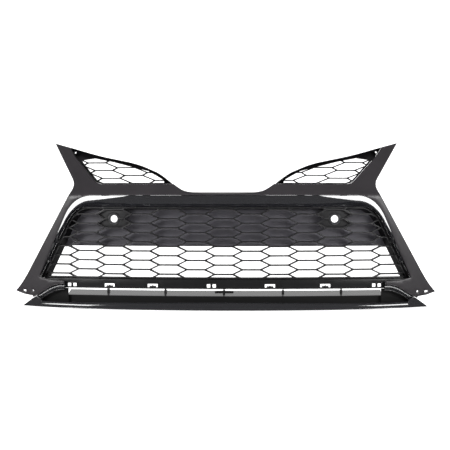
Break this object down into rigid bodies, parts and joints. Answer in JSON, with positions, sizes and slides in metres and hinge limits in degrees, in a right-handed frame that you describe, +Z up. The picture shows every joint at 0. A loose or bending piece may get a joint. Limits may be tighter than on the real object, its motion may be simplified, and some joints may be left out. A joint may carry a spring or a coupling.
{
  "type": "front grille",
  "caption": "Black front grille: bent surround frame with swept-back horns, gloss bezel and lip, hexagon mesh with a blanking panel behind its upper half, sensor holes, lower rail and tray.",
  "frame": {"origin": "on the centre line, at the lowest edge of the lip, midway between the foremost and rearmost points", "axes": "+X to the right seen from the front, along the grille's width; the front faces -Y; +Z is up"},
  "size_m": [1.137, 0.2117, 0.4495],
  "materials": {
    "satin_black": "satin, fine moulded texture",
    "gloss_black": "high gloss",
    "mesh_black": "satin moulded",
    "panel_grey": "matt",
    "rail_black": "satin moulded",
    "tray_black": "satin moulded",
    "sleeve_black": "satin moulded",
    "clip_nylon": "moulded nylon",
    "zinc_steel": "zinc plated",
    "screw_steel": "black zinc plated"
  },
  "bodies": {
    "root": {"surround_frame": "satin_black", "opening_bezel": "gloss_black", "main_mesh": "mesh_black", "blanking_panel": "panel_grey", "upper_mesh_left": "mesh_black", "upper_mesh_right": "mesh_black", "lower_rail": "rail_black", "slot_clips": "clip_nylon", "lip_tray": "tray_black", "lower_lip": "gloss_black", "sensor_sleeve_left": "sleeve_black", "sensor_sleeve_right": "sleeve_black", "sensor_retainer_left": "clip_nylon", "sensor_retainer_right": "clip_nylon", "top_bracket": "zinc_steel", "side_bracket_left": "zinc_steel", "side_bracket_right": "zinc_steel", "corner_clips": "zinc_steel", "bezel_screws": "screw_steel", "mesh_screws": "screw_steel", "upper_mesh_screws": "screw_steel", "rail_screws": "screw_steel", "lip_screws": "screw_steel", "bracket_screws": "screw_steel", "panel_screws": "screw_steel", "tray_screws": "screw_steel"}
  },
  "joints": []
}
